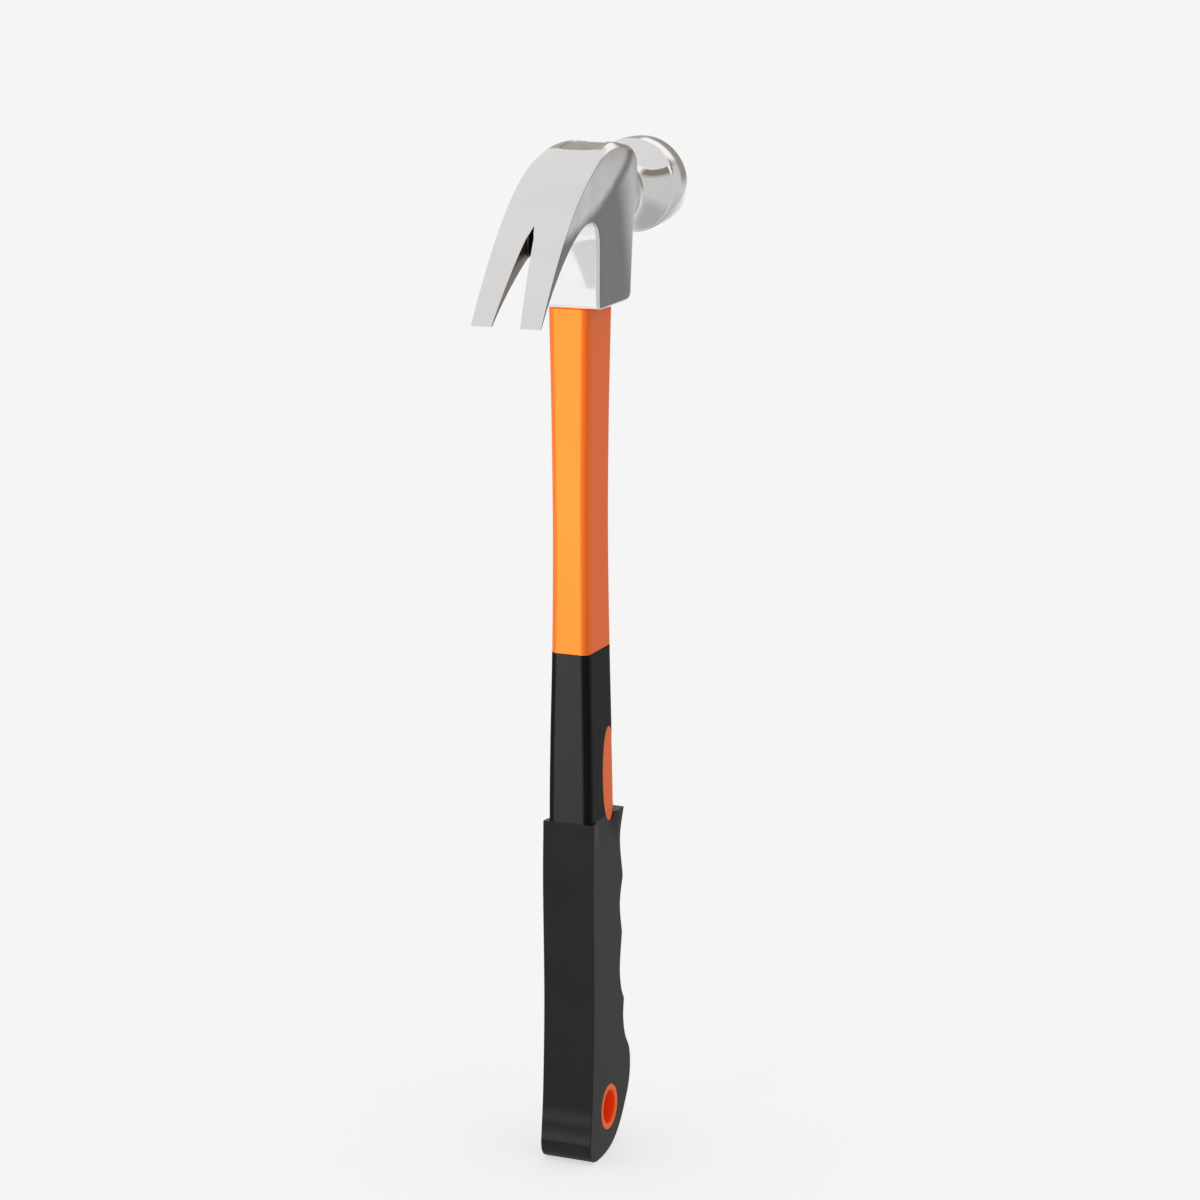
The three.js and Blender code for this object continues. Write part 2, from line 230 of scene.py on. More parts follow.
def rounded_slab(name, outline, radius, half, rings=6, spacing=1.0):
    """An outline in X and Z made thick across Y. half(x, z) is its half-thickness, and radius, at each
    point of the outline, is how far its edge is rounded over."""
    count = len(outline)
    inward = inward_normals(outline)
    vertices, faces = [], []
    for ring in range(rings + 1):
        turn = math.pi / 2 * ring / rings
        points = outline + inward * (radius * (1 - math.cos(turn)))[:, None]
        y = half(points[:, 0], points[:, 1]) - radius * (1 - math.sin(turn))
        vertices.append(np.stack([points[:, 0], y, points[:, 1]], 1))
    points, triangles = fill_flat(vertices[-1][:, [0, 2]], spacing)
    inner = points[count:]
    middle = np.stack([inner[:, 0], half(inner[:, 0], inner[:, 1]), inner[:, 1]], 1)
    side = np.vstack(vertices + [middle])
    last = rings * count
    for base in (0, len(side)):
        for ring in range(rings):
            faces += bridge(base + ring * count, base + (ring + 1) * count, count)
        faces += [tuple(base + last + i for i in triangle) for triangle in triangles]
    faces += bridge(0, len(side), count)
    return make_object(name, np.vstack([side, side * (1, -1, 1)]), faces)


def loft(name, sections):
    """A closed solid through rings of points, each with the same number of points."""
    count = len(sections[0])
    faces = []
    for ring in range(len(sections) - 1):
        faces += bridge(ring * count, (ring + 1) * count, count)
    faces.append(tuple(range(count)))
    faces.append(tuple(range((len(sections) - 1) * count, len(sections) * count)))
    return make_object(name, np.vstack(sections), faces)


def lathe(name, profile, segments, height):
    """A profile of (radius, distance along X) turned about a line along X at this height."""
    angles = full_turn(segments)
    sections = []
    for radius, along in profile:
        across, up = radius * np.cos(angles), radius * np.sin(angles)
        sections.append(np.stack([np.full(segments, along), across, up + height], 1))
    return loft(name, sections)


def rounded_section(front, back, half, front_corner, back_corner):
    """A ring in X and Y with round corners."""
    corners = [
        (front + front_corner, front_corner - half, front_corner, 180),
        (back - back_corner, back_corner - half, back_corner, 270),
        (back - back_corner, half - back_corner, back_corner, 0),
        (front + front_corner, half - front_corner, front_corner, 90),
    ]
    ring = []
    for x, y, radius, start in corners:
        for step in range(CORNER_STEPS + 1):
            angle = math.radians(start + 90 * step / CORNER_STEPS)
            ring.append((x + radius * math.cos(angle), y + radius * math.sin(angle)))
    return np.array(ring)


def at_height(ring, z):
    return np.column_stack([ring, np.full(len(ring), float(z))])


def combine(target, other, operation):
    """Joins other to target or cuts it away, and removes other."""
    change = target.modifiers.new("change", "BOOLEAN")
    change.object = other
    change.operation = operation
    change.solver = "EXACT"
    freeze(target)
    bpy.data.objects.remove(other)


def freeze(target):
    """Makes the object's modifiers part of its mesh."""
    bpy.context.view_layer.update()
    seen = target.evaluated_get(bpy.context.evaluated_depsgraph_get())
    mesh = bpy.data.meshes.new_from_object(seen)
    target.modifiers.clear()
    target.data = mesh


def smooth(target, sharp_angle):
    """Smooth shading, split at edges that turn more than sharp_angle degrees."""
    target.data.shade_smooth()
    target.data.set_sharp_from_angle(angle=math.radians(sharp_angle))
    weighted = target.modifiers.new("weighted", "WEIGHTED_NORMAL")
    weighted.keep_sharp = True
    freeze(target)


# --- Head -------------------------------------------------------------------------------------------------

def claw_outer(steps):
    x, z = CLAW_TIP
    return bezier([(x, z), (x + 14.6, z + 23.5), (CREST_X - 28.4, CREST_TOP), (CREST_X, CREST_TOP)], steps)


def head_outline():
    """The head's side view, anticlockwise from the tips, and how far each point's edge is rounded."""
    x, z = CLAW_TIP
    inner_tip = (x + 0.8, z + 0.3)
    foot, top = NECK_BACK
    front_bend, back_bend = NECK_BENDS
    front_up, front_in = FOOT_FRONT_CORNER
    flat_low, flat_high = CHEEK_FLAT
    crest_end = CHEEK_BACK - 8
    stretches = [  # the points of each, and how far its edge is rounded where it starts and ends
        (line(CLAW_TIP, inner_tip, 3), CLAW_EDGE, CLAW_EDGE),
        (bezier([inner_tip, (inner_tip[0] + 7.2, inner_tip[1] + 9.8), (ARCH_TOP[0] - 12.5, ARCH_TOP[1]),
                 ARCH_TOP], 70), CLAW_EDGE, 0.9),
        (bezier([ARCH_TOP, (NECK_FRONT, ARCH_TOP[1]), (NECK_FRONT, front_bend)], 24), 0.9, 1.5),
        (line((NECK_FRONT, front_bend), (NECK_FRONT, NECK_FOOT + front_up), 24), 1.5, 1.2),
        (bezier([(NECK_FRONT, NECK_FOOT + front_up), (NECK_FRONT, NECK_FOOT),
                 (NECK_FRONT + front_in, NECK_FOOT)], 10), 1.2, 1.2),
        (line((NECK_FRONT + front_in, NECK_FOOT), (foot - FOOT_BACK_CORNER, NECK_FOOT), 28), 1.2, 1.8),
        (bezier([(foot - FOOT_BACK_CORNER, NECK_FOOT), (foot, NECK_FOOT),
                 (foot, NECK_FOOT + FOOT_BACK_CORNER)], 12), 1.8, 2.4),
        (line((foot, NECK_FOOT + FOOT_BACK_CORNER), (top, back_bend), 24), 2.4, 3.0),
        (bezier([(top, back_bend), (top + 1, 311), (CHEEK_BACK, 313), (CHEEK_BACK, flat_low)], 24), 3.0, 3.4),
        (line((CHEEK_BACK, flat_low), (CHEEK_BACK, flat_high), 8), 3.4, 3.4),
        (bezier([(CHEEK_BACK, flat_high), (CHEEK_BACK, CHEEK_TOP), (crest_end, CHEEK_TOP)], 20), 3.4, 2.0),
        (bezier([(crest_end, CHEEK_TOP), (9.2, CREST_TOP), (CREST_X, CREST_TOP)], 8), 2.0, 1.5),
        (claw_outer(170)[::-1][:-1], 1.5, CLAW_EDGE),
    ]
    points = np.vstack([points for points, _, _ in stretches])
    radius = np.concatenate([np.linspace(a, b, len(points), endpoint=False) for points, a, b in stretches])
    # near the tips the claws are too thin for more than a slight rounding
    reach = smoothstep(points[:, 0], CLAW_TIP[0], CLAW_TIP[0] + 16)
    return points, np.minimum(radius, 0.1 + 0.65 * reach + np.maximum(points[:, 0] + 40, 0))


def head_half(x, z):
    """Half the head's thickness: the crest's sides round over, and the cheeks draw in towards the bell."""
    across, up = CREST_SPREAD
    rise = np.clip((z - CREST_SIDE) / up, 0, 0.985)
    half = HALF_WIDTH - across * (1 - np.sqrt(1 - rise)) ** 2
    start, length, inward = CHEEK_TAPER
    half -= inward * np.clip((x - start) / length, 0, 1.1) ** 2
    for dent_x, dent_z, size, depth in CHEEK_DENTS:
        half -= depth * np.exp(-((x - dent_x) ** 2 + (z - dent_z) ** 2) / size ** 2)
    return half


def bell():
    """The round poll, its flare and the crowned rim, with a chamfer round the striking face."""
    rear, face, radius = BELL_REAR, BELL_FACE, BELL_RADIUS
    fillet = POLL_RADIUS + 0.6
    rim = radius - 0.2
    chamfer = radius - 0.7
    flat = radius - 2.8
    profile = np.vstack([
        [(fillet, 8)],
        bezier([(fillet, CHEEK_BACK - 2.2), (POLL_RADIUS + 0.3, CHEEK_BACK - 0.4),
                (POLL_RADIUS, CHEEK_BACK + 0.4), (POLL_RADIUS, POLL_WAIST)], 10),
        bezier([(POLL_RADIUS, POLL_WAIST), (POLL_RADIUS, POLL_WAIST + 8), (radius - 1.9, rear - 3),
                (radius - 0.9, rear - 0.4)], 26),
        bezier([(radius - 0.9, rear - 0.4), (radius - 0.35, rear + 0.1), (rim, rear + 0.8)], 5),
        bezier([(rim, rear + 0.8), (radius + 0.2, (rear + face) / 2 - 1), (rim, face - 2.8)], 14),
        bezier([(rim, face - 2.8), (radius - 0.35, face - 2.1), (chamfer, face - 1.7)], 4),
        line((chamfer, face - 1.7), (radius - 1.8, face - 0.5), 3),
        bezier([(radius - 1.8, face - 0.5), (radius - 2.2, face - 0.2), (flat, face - 0.18)], 4),
        bezier([(flat, face - 0.18), (6, face), (0.4, face)], 8),
        [(0.4, face)],
    ])
    return lathe("bell", profile, 128, BELL_AXIS)


def notch_cutter():
    """The V between the claws."""
    reach = CLAW_TIP[0] - 5
    flare = (NOTCH_MOUTH - NOTCH_THROAT[1]) / (NOTCH_THROAT[0] - CLAW_TIP[0])
    mouth = NOTCH_MOUTH + 5 * flare
    side = [(reach, mouth), NOTCH_THROAT, NOTCH_BEND]
    plan = np.array([(x, -y) for x, y in side] + [(NOTCH_APEX, 0)] + side[::-1])
    return loft("notch", [at_height(plan, NECK_FOOT - 5), at_height(plan, CREST_TOP + 2)])


def eye_rings(clearance, foot, top):
    """The eye's waisted bore, as rings up its height."""
    middle = (NECK_FOOT + CREST_TOP) / 2
    rings = []
    for z in np.linspace(foot, top, 24):
        scale = EYE["waist"] + (1 - EYE["waist"]) * ((z - middle) / (CREST_TOP - middle)) ** 2
        length, width = EYE["length"] * scale - clearance, EYE["width"] * scale - clearance
        ring = rounded_section(EYE["x"] - length, EYE["x"] + length, width, EYE["corner"], EYE["corner"])
        rings.append(at_height(ring, z))
    return rings


def hammer_head():
    outline, radius = head_outline()
    head = rounded_slab("hammer_head_shape", outline, radius, head_half, rings=6, spacing=0.9)
    combine(head, bell(), "UNION")
    combine(head, notch_cutter(), "DIFFERENCE")
    combine(head, loft("eye", eye_rings(0, NECK_FOOT - 3, CREST_TOP + 3)), "DIFFERENCE")
    smooth(head, 32)
    return head


# --- Resin and core ---------------------------------------------------------------------------------------

def eye_resin():
    """Resin poured into the eye, with its top a little below the crest."""
    resin = loft("eye_resin_shape", eye_rings(0.05, RESIN_FOOT, CREST_TOP + 2))
    crest = np.vstack([claw_outer(60), [(CREST_X, CREST_TOP)], [(30, CREST_TOP)]])
    lid = np.vstack([crest - (0, RESIN_DROP), [(30, CREST_TOP + 8)], [(CLAW_TIP[0], CREST_TOP + 8)]])
    count = len(lid)
    sides = [np.column_stack([lid[:, 0], np.full(count, y), lid[:, 1]]) for y in (-20.0, 20.0)]
    combine(resin, loft("lid", sides), "DIFFERENCE")
    smooth(resin, 32)
    return resin


# --- Handle and grip --------------------------------------------------------------------------------------

def handle_shape(z):
    """Half-thickness, front and back of the handle at a height."""
    heights = STATIONS[:, 0]
    slopes = np.gradient(STATIONS[:, 1:], heights, axis=0)
    slopes[:2] = 0
    i = int(np.clip(np.searchsorted(heights, z) - 1, 0, len(heights) - 2))
    gap = heights[i + 1] - heights[i]
    t = (z - heights[i]) / gap
    a, b = STATIONS[i, 1:], STATIONS[i + 1, 1:]
    return ((2 * t ** 3 - 3 * t ** 2 + 1) * a + (t ** 3 - 2 * t ** 2 + t) * gap * slopes[i]
            + (3 * t ** 2 - 2 * t ** 3) * b + (t ** 3 - t ** 2) * gap * slopes[i + 1])


def edge_section(z, inset=0.0, tighter=0.0):
    """The handle's section at a height, drawn in by inset and with its corners tighter."""
    half, front, back = handle_shape(z)
    return rounded_section(front + inset, back - inset, half - inset, FRONT_CORNER - tighter,
                           BACK_CORNER - tighter)


def handle_rings(heights, inset=0.0):
    return [at_height(edge_section(z, inset), z) for z in heights]


def window_cutter(name, side, clearance):
    """One of the sleeve's two oval openings."""
    wide, tall = WINDOW["wide"] + clearance, WINDOW["tall"] + clearance
    angles = full_turn(WINDOW["steps"])
    x, z = WINDOW["x"] + wide * np.cos(angles), WINDOW["z"] + tall * np.sin(angles)
    depths = (WINDOW["floor"] - clearance, WINDOW["reach"])
    return loft(name, [np.column_stack([x, np.full_like(x, side * depth), z]) for depth in depths])


def root_box(name, clearance):
    """The jacket's bar inside the grip."""
    ring = rounded_section(ROOT["front"] - clearance, ROOT["back"] + clearance, ROOT["half"] + clearance,
                           ROOT["corner"], ROOT["corner"])
    heights = (ROOT["foot"] - clearance, ROOT["middle"], SLEEVE_TOP + 2)
    return loft(name, [at_height(ring, z) for z in heights])


def grip_half(x, z):
    """Half the hand grip's thickness: scoops under the windows run it into the thinner sleeve."""
    scoop = smoothstep(z, SHOULDER - SCOOP["drop"], SHOULDER)
    scoop = scoop * smoothstep(x, *SCOOP["front"]) * (1 - smoothstep(x, *SCOOP["back"]))
    return GRIP_HALF - (GRIP_HALF - SLEEVE_HALF) * scoop


def sleeve(name, foot, top, inset=0.0):
    """The thin part of the grip above the shoulder."""
    rings = handle_rings(np.linspace(foot, top, 30), inset)
    rings[-1] = at_height(edge_section(top, inset + MOULD_EDGE, 0.1), top)
    rings.insert(-1, at_height(rings[-2][:, :2], top - MOULD_EDGE))
    return loft(name, rings)


def eyelet_profile():
    """The eyelet ring's section as (radius, Y), with its edges eased."""
    outer, bore, face = EYELET["outer"], EYELET["bore"], GRIP_HALF
    edge, lip, slope = 0.25, 0.15, 0.5
    return [(bore + slope, -face), (outer - edge, -face), (outer, edge - face), (outer, face - edge),
            (outer - edge, face), (bore + slope, face), (bore + lip, face - lip), (bore, face - slope),
            (bore, slope - face), (bore + lip, lip - face)]


def eyelet_ring(radius, y):
    """A ring of points about the hang hole, taller than it is wide."""
    angles = full_turn(EYELET["steps"])
    x = EYELET["x"] + radius * np.cos(angles)
    z = EYELET["z"] + (radius + EYELET["taller"]) * np.sin(angles)
    return np.stack([x, np.full_like(x, y), z], 1)


def pin(name, radius, reach):
    return loft(name, [eyelet_ring(radius, -reach), eyelet_ring(radius, reach)])


def ring_piece(name):
    """The eyelet's ring, closed on itself round its bore."""
    rings = [eyelet_ring(radius, y) for radius, y in eyelet_profile()]
    count = len(rings[0])
    faces = []
    for ring in range(len(rings)):
        faces += bridge(ring * count, (ring + 1) % len(rings) * count, count)
    return make_object(name, np.vstack(rings), faces)


def handle_jacket():
    """The moulded handle, with its root, window pads and hang eyelet."""
    foot = SLEEVE_TOP + 0.1
    rings = handle_rings(np.linspace(foot + MOULD_EDGE, HANDLE_TOP - 0.1, 36))
    rings.insert(0, at_height(edge_section(foot, MOULD_EDGE, 0.1), foot))
    rings.append(at_height(edge_section(HANDLE_TOP, 0.1, 0.1), HANDLE_TOP))
    jacket = loft("handle_jacket_shape", rings)
    combine(jacket, root_box("root", 0), "UNION")
    for side in (-1, 1):
        pad = sleeve("pad", 20, SLEEVE_TOP - 2, inset=0.05)
        combine(pad, window_cutter("pad_window", side, -0.05), "INTERSECT")
        combine(jacket, pad, "UNION")
    combine(jacket, pin("eyelet_core", EYELET["outer"] - 0.5, GRIP_HALF - 1), "UNION")
    combine(jacket, ring_piece("ring"), "UNION")
    combine(jacket, pin("bore", EYELET["bore"], GRIP_HALF + 3), "DIFFERENCE")
    tongue = loft("tongue", eye_rings(0.3, HANDLE_TOP - 1, RESIN_FOOT - 0.3))
    combine(jacket, tongue, "UNION")
    smooth(jacket, 35)
    return jacket


def grip_outline():
    """The hand grip's side view, anticlockwise from the front of the shoulder."""
    finger_bumps = [
        [(17.6, 32), (14.4, 37), (12.8, 43.5), (13.4, 50)],
        [(13.4, 50), (11, 54.5), (9.9, 62), (11.6, 73.5)],
        [(11.6, 73.5), (9.8, 84), (12.2, 93)],
        [(12.2, 93), (9.8, 106.5), (12.9, SHOULDER)],
    ]
    front = [(-12.5, SHOULDER), (-13, 95), (-12.3, 56), (-13.4, 26), (-14.6, 13), (-15.3, 7)]
    stretches = [
        spline(front, 12),
        bezier([(-15.3, 7), (-15.6, 2), (-13, 0), (-8, 0)], 14),
        bezier([(-8, 0), (4, 0), (9, 4), (15.5, 14.5)], 24),
        bezier([(15.5, 14.5), (19.5, 20), (19.5, 28), (17.6, 32)], 18),
        *[spline(bump, 10) for bump in finger_bumps],
        line((12.9, SHOULDER), (-12.5, SHOULDER), 26),
    ]
    return np.vstack(stretches)


def rubber_grip():
    outline = grip_outline()
    radius = np.full(len(outline), GRIP_EDGE)
    grip = rounded_slab("rubber_grip_shape", outline, radius, grip_half, rings=4, spacing=1.4)
    combine(grip, sleeve("sleeve", SHOULDER - 3, SLEEVE_TOP), "UNION")
    combine(grip, root_box("root_room", 0.2), "DIFFERENCE")
    combine(grip, pin("eyelet_room", EYELET["outer"] + 0.05, GRIP_HALF + 3), "DIFFERENCE")
    for side in (-1, 1):
        combine(grip, window_cutter("window", side, 0.1), "DIFFERENCE")
    smooth(grip, 35)
    return grip


# --- Materials --------------------------------------------------------------------------------------------

def new_material(name):
    material = bpy.data.materials.new(name)
    material.use_nodes = True
    tree = material.node_tree
    shader = next(node for node in tree.nodes if node.type == "BSDF_PRINCIPLED")
    return material, tree, shader


def add_node(tree, kind, inputs=None, **settings):
    node = tree.nodes.new(kind)
    for key, value in settings.items():
        setattr(node, key, value)
    for key, value in (inputs or {}).items():
        if isinstance(value, bpy.types.NodeSocket):
            tree.links.new(value, node.inputs[key])
        else:
            node.inputs[key].default_value = value
    return node


def noise(tree, scale, detail=4.0, stretch=(1, 1, 1), roughness=0.55):
    """Noise in metres of the object's own frame."""
    place = add_node(tree, "ShaderNodeTexCoord")
    mapped = add_node(tree, "ShaderNodeMapping", {"Vector": place.outputs["Object"], "Scale": stretch})
    return add_node(tree, "ShaderNodeTexNoise", {
        "Vector": mapped.outputs[0], "Scale": scale, "Detail": detail, "Roughness": roughness,
    }).outputs["Fac"]


def ramp(tree, value, low, high, to_low=0.0, to_high=1.0):
    return add_node(tree, "ShaderNodeMapRange", {
        "Value": value, "From Min": low, "From Max": high, "To Min": to_low, "To Max": to_high,
    }, interpolation_type="SMOOTHSTEP").outputs[0]


def mix_colour(tree, factor, first, second):
    node = add_node(tree, "ShaderNodeMix", data_type="RGBA")
    for index, value in ((0, factor), (6, first), (7, second)):
        if isinstance(value, bpy.types.NodeSocket):
            tree.links.new(value, node.inputs[index])
        else:
            node.inputs[index].default_value = value
    return node.outputs[2]


def mix_value(tree, factor, first, second):
    return add_node(tree, "ShaderNodeMix", {0: factor, 2: first, 3: second}).outputs[0]


def maths(tree, operation, first, second=0.0):
    return add_node(tree, "ShaderNodeMath", {0: first, 1: second}, operation=operation).outputs[0]


def bump(tree, height, distance, strength):
    return add_node(tree, "ShaderNodeBump", {
        "Height": height, "Distance": distance, "Strength": strength,
    }).outputs[0]


def rgb(red, green, blue):
    return (red, green, blue, 1.0)


def split_vector(tree, vector):
    """The X, Y and Z of a vector."""
    parts = add_node(tree, "ShaderNodeSeparateXYZ", {0: vector})
    return parts.outputs["X"], parts.outputs["Y"], parts.outputs["Z"]


def surface_normal(tree):
    return split_vector(tree, add_node(tree, "ShaderNodeNewGeometry").outputs["Normal"])


def drawn_place(tree):
    """A point's X, Y and Z in millimetres about the handle's axis."""
    place = add_node(tree, "ShaderNodeTexCoord").outputs["Object"]
    x, y, z = (maths(tree, "DIVIDE", part, MM) for part in split_vector(tree, place))
    return maths(tree, "SUBTRACT", x, AXIS_SHIFT), y, z


def steel_masks(tree, x, y):
    """Where the head is satin, where the notch's walls are and where the striking face is, as 0 to 1."""
    ahead, side, _ = surface_normal(tree)
    facing = ramp(tree, maths(tree, "ABSOLUTE", side), 0.86, 0.93)
    before_bell = ramp(tree, x, CHEEK_BACK - 0.2, CHEEK_BACK + 0.2, 1.0, 0.0)
    flat = maths(tree, "MULTIPLY", facing, before_bell)
    outside = ramp(tree, maths(tree, "ABSOLUTE", y), 8.4, 8.8)
    satin = maths(tree, "MULTIPLY", flat, outside)
    slot = maths(tree, "MULTIPLY", flat, ramp(tree, x, NOTCH_APEX, NOTCH_APEX + 4, 1.0, 0.0))
    slot = maths(tree, "MULTIPLY", slot, maths(tree, "SUBTRACT", 1.0, outside))
    on_bell = ramp(tree, x, BELL_REAR, BELL_FACE - 1)
    face = maths(tree, "MULTIPLY", ramp(tree, ahead, 0.9, 0.97), on_bell)
    return satin, slot, face


def flank_height(tree, x, z):
    """A point's height measured along the sagging line that parts the claws' flank from the neck, with noise
    to break the line up."""
    along = maths(tree, "DIVIDE", maths(tree, "ADD", x, -FLANK_LINE["middle"]), FLANK_LINE["reach"])
    square = maths(tree, "MULTIPLY", along, along)
    sag = maths(tree, "MULTIPLY", maths(tree, "SUBTRACT", 1.0, square), FLANK_LINE["sag"])
    level = maths(tree, "SUBTRACT", z, maths(tree, "MULTIPLY", x, FLANK_LINE["slope"]))
    above = maths(tree, "ADD", level, sag)
    return maths(tree, "ADD", above, maths(tree, "MULTIPLY", noise(tree, 90.0, 3.0), 3.0))


def blasted_colour(tree, x, z, cloud, grain):
    """The satin cheek. The claws' flank is painted lighter than the neck, as painted light where it faces
    more upward.
    """
    above = flank_height(tree, x, z)
    # painted light: the claws' flank above the sagging line is made lighter
    flank = ramp(tree, above, 325.4, 330.2)
    # the neck grows lighter towards its back
    back = maths(tree, "ADD", x, maths(tree, "MULTIPLY", maths(tree, "SUBTRACT", z, 300.0), 0.3))
    back = maths(tree, "MULTIPLY", ramp(tree, back, 4.0, 20.0), ramp(tree, above, 326.5, 321.5))
    colour = mix_colour(tree, back, rgb(0.215, 0.215, 0.216), rgb(0.73, 0.73, 0.735))
    colour = mix_colour(tree, flank, colour, rgb(0.84, 0.825, 0.84))
    patches = mix_colour(tree, 0.5, colour, rgb(0.45, 0.45, 0.455))
    colour = mix_colour(tree, ramp(tree, cloud, 0.3, 0.7, 0.0, 0.35), colour, patches)
    return mix_colour(tree, ramp(tree, grain, 0.3, 0.7, 0.0, 0.12), colour, rgb(0.2, 0.2, 0.2))


def steel_material():
    """Forged steel: belt-polished, with satin cheeks, a ground striking face and dull notch walls."""
    material, tree, shader = new_material("forged_steel")
    x, y, z = drawn_place(tree)
    satin, slot, face = steel_masks(tree, x, y)
    cloud = noise(tree, 140.0, 4.0)
    grain = noise(tree, 5200.0, 3.0)
    smear = noise(tree, 60.0, 3.0, (1.0, 0.25, 1.0))
    bright = mix_colour(tree, ramp(tree, smear, 0.35, 0.7), rgb(0.86, 0.855, 0.845), rgb(0.82, 0.815, 0.805))
    bright = mix_colour(tree, face, bright, rgb(0.60, 0.595, 0.585))
    # the notch's walls are left as sheared, brown, and painted shade darkens them to near black in the throat
    scale = ramp(tree, x, NOTCH_BEND[0], NOTCH_BEND[0] + 0.3)
    sheared_with_throat_shade = mix_colour(tree, scale, rgb(0.31, 0.26, 0.232), rgb(0.05, 0.048, 0.045))
    colour = mix_colour(tree, satin, bright, blasted_colour(tree, x, z, cloud, grain))
    tree.links.new(mix_colour(tree, slot, colour, sheared_with_throat_shade), shader.inputs["Base Color"])
    shader.inputs["Metallic"].default_value = 1.0
    rough = mix_value(tree, face, ramp(tree, smear, 0.3, 0.75, 0.045, 0.09), 0.26)
    rough = mix_value(tree, satin, rough, ramp(tree, cloud, 0.3, 0.7, 0.34, 0.42))
    tree.links.new(mix_value(tree, slot, rough, 0.3), shader.inputs["Roughness"])
    brushed = noise(tree, 900.0, 2.0, (1.0, 0.02, 1.0))
    height = mix_value(tree, satin, maths(tree, "MULTIPLY", brushed, 0.02), grain)
    tree.links.new(bump(tree, height, 0.02 * MM, 0.5), shader.inputs["Normal"])
    return material


def turning_edges(tree):
    """How far a surface turns round the handle's long edges: up to 0.38 in front, down to -0.38 behind."""
    ahead, side, _ = surface_normal(tree)
    corner = maths(tree, "ABSOLUTE", maths(tree, "MULTIPLY", ahead, side))
    return maths(tree, "MULTIPLY", maths(tree, "MULTIPLY", ahead, corner), -1.0)


def bore_mask(tree):
    """Where a point is on the hang hole's wall, as 0 to 1."""
    bore = EYELET["bore"]
    oval = bore / (bore + EYELET["taller"])
    centre = ((EYELET["x"] + AXIS_SHIFT) * MM, 0.0, EYELET["z"] * MM)
    place = add_node(tree, "ShaderNodeTexCoord").outputs["Object"]
    offset = add_node(tree, "ShaderNodeVectorMath", {0: place, 1: centre}, operation="SUBTRACT").outputs[0]
    flat = add_node(tree, "ShaderNodeVectorMath", {0: offset, 1: (1, 0, oval)}, operation="MULTIPLY")
    reach = add_node(tree, "ShaderNodeVectorMath", {0: flat.outputs[0]}, operation="LENGTH").outputs["Value"]
    return ramp(tree, reach, (bore + 0.05) * MM, (bore + 0.35) * MM, 1.0, 0.0)


def polymer_material():
    """Satin moulded polymer, with painted shade on its front edges, a painted sheen on its back edges, and
    deeper in colour in the hang hole.
    """
    material, tree, shader = new_material("orange_polymer")
    cloud = noise(tree, 35.0, 3.0, (1.0, 1.0, 0.3))
    fine = noise(tree, 3000.0, 3.0)
    turning = turning_edges(tree)
    colour = mix_colour(tree, ramp(tree, cloud, 0.3, 0.7), rgb(0.68, 0.112, 0.014), rgb(0.72, 0.122, 0.017))
    colour = mix_colour(tree, ramp(tree, fine, 0.55, 0.8, 0.0, 0.25), colour, rgb(0.64, 0.09, 0.008))
    # painted shade: the front edges are darkened
    colour = mix_colour(tree, ramp(tree, turning, 0.05, 0.33), colour, rgb(0.33, 0.060, 0.005))
    colour = mix_colour(tree, bore_mask(tree), colour, rgb(0.86, 0.062, 0.005))
    tree.links.new(colour, shader.inputs["Base Color"])
    # a painted sheen on the back edges, where the specular is raised
    tree.links.new(ramp(tree, turning, 0.0, -0.12, 0.15, 0.6), shader.inputs["Specular IOR Level"])
    tree.links.new(ramp(tree, cloud, 0.3, 0.7, 0.36, 0.44), shader.inputs["Roughness"])
    tree.links.new(bump(tree, fine, 0.02 * MM, 0.35), shader.inputs["Normal"])
    return material


def rubber_colour(tree, on_sleeve, flank, turning, fine):
    cloud = noise(tree, 45.0, 4.0)
    grip = mix_colour(tree, ramp(tree, cloud, 0.3, 0.7), rgb(0.002, 0.002, 0.002), rgb(0.004, 0.004, 0.004))
    # painted shade: the sleeve's flanks are darker than its front
    thin = mix_colour(tree, flank, rgb(0.0145, 0.0145, 0.0147), rgb(0.008, 0.008, 0.008))
    colour = mix_colour(tree, on_sleeve, grip, thin)
    colour = mix_colour(tree, ramp(tree, fine, 0.5, 0.8, 0.0, 0.3), colour, rgb(0.014, 0.014, 0.014))
    # painted shade: the sleeve's turning edges are made black
    return mix_colour(tree, turning, colour, rgb(0.003, 0.003, 0.003))


def rubber_sheen(tree, on_sleeve, flank, turning, up):
    """How much the rubber shines, a painted sheen: most where the hand grip faces up, as at its heel, then on
    its flanks, less on the sleeve, and least where the sleeve's edges turn.
    """
    facing_sheen = mix_value(tree, flank, ramp(tree, up, 0.09, 0.15, 0.28, 0.8), 0.55)
    sheen = mix_value(tree, on_sleeve, facing_sheen, 0.12)
    # painted shade: the sheen is taken away where the sleeve's edges turn
    return maths(tree, "MULTIPLY", sheen, ramp(tree, turning, 0.0, 1.0, 1.0, 0.2))


